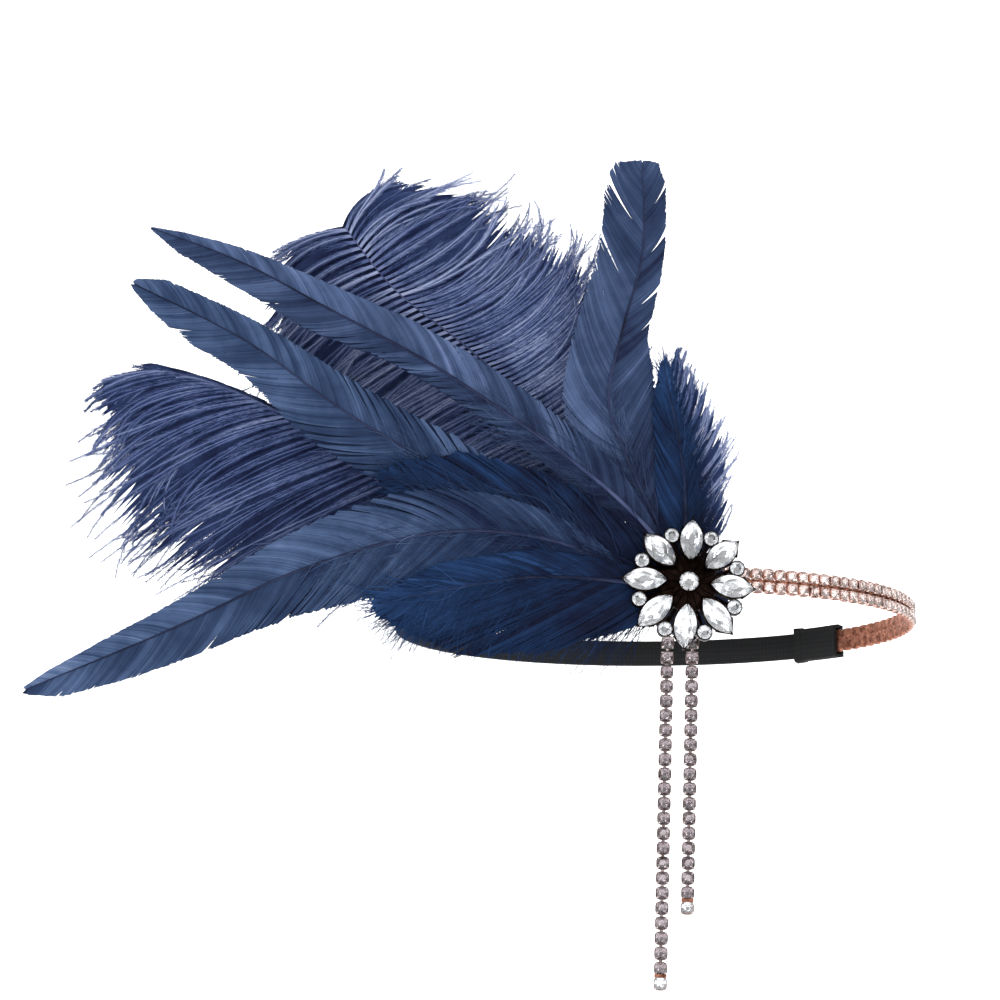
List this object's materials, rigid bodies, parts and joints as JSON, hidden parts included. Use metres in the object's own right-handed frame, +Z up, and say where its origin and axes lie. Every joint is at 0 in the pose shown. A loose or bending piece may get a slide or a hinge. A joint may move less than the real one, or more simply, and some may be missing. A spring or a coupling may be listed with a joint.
{
  "type": "feather headband",
  "caption": "Flapper feather headband: crystal chain and elastic loop with a navette flower, hanging crystal strands and a fan of dyed quill feathers and ostrich plumes",
  "frame": {"origin": "centre of the head loop, at the band's mid height", "axes": "+X towards the forehead, +Z up, -Y out of the temple that carries the flower"},
  "size_m": [0.2855, 0.1855, 0.2647],
  "materials": {
    "crystal_chain": "rose-gold plated cup chain, two rows, with clear cut stones",
    "strand_chain": "smoky plated cup chain with clear cut stones",
    "elastic": "ribbed knitted elastic",
    "felt": "matte felt",
    "navy_quill": "dyed quill feather, satin",
    "slate_quill": "dyed quill feather, satin, greyer",
    "ostrich_plume": "dyed ostrich plume, soft",
    "flower_metal": "antique dark bronze",
    "crystal": "clear cut glass"
  },
  "bodies": {
    "root": {"crystal_band": "crystal_chain", "elastic_strap": "elastic", "elastic_keeper": "elastic", "backing_pad": "felt", "quill_upright": "slate_quill", "hackle_upright": "navy_quill", "quill_upper": "slate_quill", "quill_middle": "navy_quill", "hackle_centre": "navy_quill", "quill_lower": "navy_quill", "hackle_low": "navy_quill", "plume_top": "ostrich_plume", "plume_left": "ostrich_plume", "down_tuft": "ostrich_plume", "flower_setting": "flower_metal", "centre_stone": "crystal", "petal_stone_1": "crystal", "petal_stone_2": "crystal", "petal_stone_3": "crystal", "petal_stone_4": "crystal", "petal_stone_5": "crystal", "petal_stone_6": "crystal", "petal_stone_7": "crystal", "petal_stone_8": "crystal", "accent_stone_1": "crystal", "accent_stone_2": "crystal", "accent_stone_3": "crystal", "accent_stone_4": "crystal", "accent_stone_5": "crystal", "accent_stone_6": "crystal", "accent_stone_7": "crystal", "accent_stone_8": "crystal", "strand_long": "strand_chain", "strand_short": "strand_chain"}
  },
  "joints": []
}
